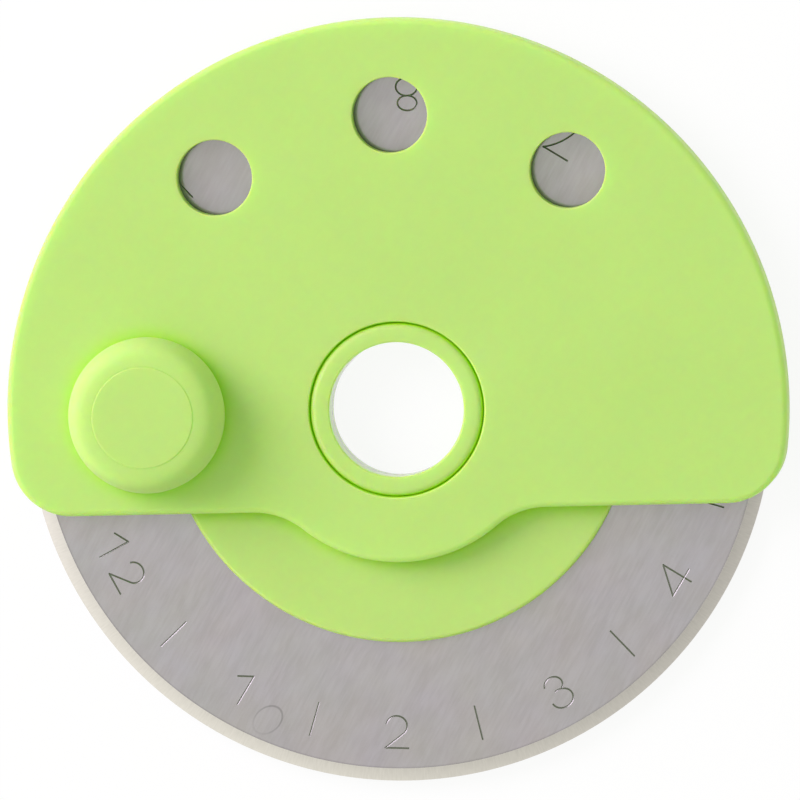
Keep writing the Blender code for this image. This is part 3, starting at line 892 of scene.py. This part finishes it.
class BLADE_OT_knob(bpy.types.Operator):
    """Builds the thumb knob: a profile of flat top, round shoulder and foot, turned on its stem"""

    bl_idname = "cutter_blade.knob"
    bl_label = "Thumb knob"

    def execute(self, context):
        """The shoulder's radius grows with sin a to the power 1 / squareness, while its height falls with
        cos a and the slope."""
        sizes = context.scene.cutter_knob
        foot = GUARD_FRONT + context.scene.cutter_hub.seat_gap
        flat, small, stem = sizes.top / 2, sizes.top_step, sizes.stem / 2
        step = KNOB_TOP - small
        shoulder = sizes.shoulder / 2
        waist = GUARD_FRONT + sizes.waist
        foot_of_step, reach = flat + small * 2, KNOB_RADIUS - shoulder
        fall = (KNOB_RADIUS - foot_of_step) * math.tan(sizes.slope)
        start = math.asin(((foot_of_step - shoulder) / reach) ** SQUARENESS)
        quarter = np.linspace(start, UP, 44)
        r = shoulder + reach * np.sin(quarter) ** (1 / SQUARENESS)
        slope = fall * (KNOB_RADIUS - r) / (KNOB_RADIUS - foot_of_step)
        side = np.column_stack([r, waist + (step - waist - fall) * np.cos(quarter) + slope])
        below = sizes.foot_round
        rounded = (KNOB_RADIUS - below, foot + below) + arc(below, 0, DOWN, 10)
        rim = (flat - small, KNOB_TOP - small) + arc(small, UP, 0, 4)
        profile = np.vstack([
            (flat * 0.5, KNOB_TOP), (flat - small * 2, KNOB_TOP), rim, (flat + small, step), side, rounded,
            (stem, foot), (stem, STEM_END), (stem / 2, STEM_END),
        ])
        skin = shell(turned(profile, KNOB_COLUMNS, KNOB_CENTRE), closed=False)
        piece = mesh_object("knob", *skin, [lime_plastic(context.scene)])
        deliver(piece, "thumb_knob", "guard")
        return {"FINISHED"}


# Stage

FLOOR_EDGE, FLOOR_RING, FLOOR_DROP, FLOOR_COLUMNS = 1.5, 0.5, 0.01 * MM, 64
PAPER_GLOW = 0.9  # the share of the floor that is seen as white paper, whatever light falls on it
KEY_BEARING, KEY_HEIGHT = math.radians(152), math.radians(36)
KEY_DISTANCE, KEY_SIZE = 0.7, 0.5
BAND_EDGE = (0.25, 0.4)  # sine of the height at which the pale band along the horizon ends
CEILING_EDGE = (0.72, 0.9)  # sine of the height at which the room's tint gives way to white
CAMERA_RIGHT, CAMERA_ABOVE = math.radians(4.4), math.radians(2.9)
CAMERA_DISTANCE, CAMERA_LENS = 1.081, 810.0
CAMERA_AIM = Vector((0.22 * MM, 0.08 * MM, GUARD_FRONT))


def toward(bearing, height):
    """A step of length 1 in the direction of a bearing and a height, both angles."""
    flat = math.cos(height)
    return Vector((flat * math.cos(bearing), flat * math.sin(bearing), math.sin(height)))


class BLADE_OT_stage(bpy.types.Operator):
    """Builds the pale floor, the soft light, the room and the camera"""

    bl_idname = "cutter_blade.stage"
    bl_label = "Stage"

    def execute(self, context):
        settings = context.scene.cutter_stage
        self.floor(settings)
        self.room(context.scene, settings)
        self.key(context.scene, settings)
        self.camera(context)
        context.scene.view_settings.view_transform = "Standard"
        return {"FINISHED"}

    def floor(self, settings):
        """A flat pale disc. Seen by the camera or in a reflection it is mostly white paper, and it keeps part
        of the light that falls on it, so that the shadow shows."""
        material, add = blank(bpy.data.materials.new("white_paper"))
        paper = add("ShaderNodeBsdfDiffuse", {"Color": opaque(settings.floor)})
        glow = add("ShaderNodeEmission", {"Color": WHITE, "Strength": 1.0})
        ray = add("ShaderNodeLightPath").outputs
        seen = ray["Is Camera Ray"]
        for other in ("Is Glossy Ray", "Is Transmission Ray"):
            seen = add("ShaderNodeMath", {0: seen, 1: ray[other]}, operation="MAXIMUM")
        share = add("ShaderNodeMath", {0: seen, 1: PAPER_GLOW}, operation="MULTIPLY")
        mix = add("ShaderNodeMixShader", {0: share, 1: paper, 2: glow})
        add("ShaderNodeOutputMaterial", {"Surface": mix})
        loops = turned(np.array([(FLOOR_EDGE, -FLOOR_DROP), (FLOOR_RING, -FLOOR_DROP)]), FLOOR_COLUMNS)
        index = np.arange(2 * FLOOR_COLUMNS).reshape(2, -1)
        verts = np.vstack([loops.reshape(-1, 3), (0.0, 0.0, -FLOOR_DROP)])
        quads = band_quads(index[:1], index[1:]).reshape(-1, 4)
        floor = mesh_object("floor", verts, quads, fan_tris(index[1], index.size), [material])

    def room(self, scene, settings):
        """A room whose light depends on the direction: a tinted fill that is white overhead, two glows added
        to it, and a pale band along the horizon in their place."""
        scene.world, add = blank(bpy.data.worlds.new("room"))
        direction = add("ShaderNodeTexCoord").outputs["Generated"]
        light = 0.0
        # Of each glow: bearing, height, half-width and half-width of its fade in degrees, and strength
        for degrees, strength in ((0, 90, 12, 50), settings.overhead), ((209, 60, 5, 42), settings.side_glow):
            bearing, height, narrow, wide = np.radians(degrees)
            axis = toward(bearing, height)
            near = add("ShaderNodeVectorMath", {0: direction, 1: axis}, operation="DOT_PRODUCT")
            fade = math.cos(wide), math.cos(narrow)
            glow = add("ShaderNodeMapRange", {"Value": near, FROM: fade, "To Max": strength}, **SMOOTH)
            light = add("ShaderNodeMath", {0: light, 1: glow})
        up = add("ShaderNodeSeparateXYZ", {"Vector": direction}).outputs["Z"]
        level = add("ShaderNodeMath", {0: up}, operation="ABSOLUTE")
        band = add("ShaderNodeMapRange", {"Value": level, FROM: BAND_EDGE, TO: (1.0, 0.0)})
        high = add("ShaderNodeMapRange", {"Value": level, FROM: CEILING_EDGE}, **SMOOTH)
        tint = opaque(settings.fill)
        tint = add("ShaderNodeMix", {"Factor": high, "A": tint, "B": WHITE}, data_type="RGBA")
        fill = add("ShaderNodeBackground", {"Color": tint, "Strength": settings.world})
        glow = add("ShaderNodeBackground", {"Color": WHITE, "Strength": light})
        horizon = add("ShaderNodeBackground", {"Color": WHITE, "Strength": settings.horizon})
        dome = add("ShaderNodeAddShader", {0: fill, 1: glow})
        both = add("ShaderNodeMixShader", {0: band, 1: dome, 2: horizon})
        add("ShaderNodeOutputWorld", {"Surface": both})

    def key(self, scene, settings):
        """The soft lamp: a disc that faces the piece."""
        lamp = bpy.data.lights.new("key", "AREA")
        lamp.shape = "DISK"
        lamp.size = KEY_SIZE
        lamp.energy = settings.key
        lamp.color = settings.key_tint
        made = bpy.data.objects.new("key", lamp)
        away = toward(KEY_BEARING, KEY_HEIGHT)
        made.location = away * KEY_DISTANCE
        made.rotation_euler = away.to_track_quat("Z", "Y").to_euler()
        scene.collection.objects.link(made)

    def camera(self, context):
        """The photograph's view: nearly straight down, from a little to the right and above, far away."""
        away = Vector((
            math.sin(CAMERA_RIGHT) * math.cos(CAMERA_ABOVE),
            math.sin(CAMERA_ABOVE),
            math.cos(CAMERA_RIGHT) * math.cos(CAMERA_ABOVE),
        ))
        right = Vector((math.cos(CAMERA_RIGHT), 0.0, -math.sin(CAMERA_RIGHT)))
        data = bpy.data.cameras.new("camera")
        data.sensor_width = 36.0
        data.lens = CAMERA_LENS
        data.clip_end = 10.0
        camera = bpy.data.objects.new("camera", data)
        turn = Matrix((right, away.cross(right), away)).transposed()
        camera.matrix_world = Matrix.Translation(CAMERA_AIM + away * CAMERA_DISTANCE) @ turn.to_4x4()
        context.scene.collection.objects.link(camera)
        context.scene.camera = camera


class BLADE_PT_panel(bpy.types.Panel):
    """Sizes, finishes and the buttons that build the pieces"""

    bl_idname = "BLADE_PT_panel"
    bl_label = "Cutter blade"
    bl_space_type = "VIEW_3D"
    bl_region_type = "UI"
    bl_category = "Cutter blade"

    def draw(self, context):
        for name in GROUPS:
            group = getattr(context.scene, name)
            box = self.layout.box()
            box.label(text=name.split("_")[1].capitalize())
            for key in group.__annotations__:
                box.prop(group, key)
        for step in STEPS:
            self.layout.operator(step.bl_idname)


GROUPS = {
    "cutter_guard": GuardSizes,
    "cutter_hub": HubSizes,
    "cutter_blade": BladeSizes,
    "cutter_knob": KnobSizes,
    "cutter_finish": Finishes,
    "cutter_stage": StageSettings,
}
STEPS = (BLADE_OT_guard, BLADE_OT_knob, BLADE_OT_hub, BLADE_OT_blade, BLADE_OT_stage)
CLASSES = (*GROUPS.values(), *STEPS, BLADE_PT_panel)


def register():
    for cls in CLASSES:
        bpy.utils.register_class(cls)
    for name, group in GROUPS.items():
        setattr(bpy.types.Scene, name, bpy.props.PointerProperty(type=group))


def unregister():
    for name in GROUPS:
        delattr(bpy.types.Scene, name)
    for cls in reversed(CLASSES):
        bpy.utils.unregister_class(cls)


def main():
    register()
    bpy.ops.cutter_blade.guard()
    bpy.ops.cutter_blade.knob()
    bpy.ops.cutter_blade.hub()
    bpy.ops.cutter_blade.blade()
    bpy.ops.cutter_blade.stage()


if __name__ == "__main__":
    main()
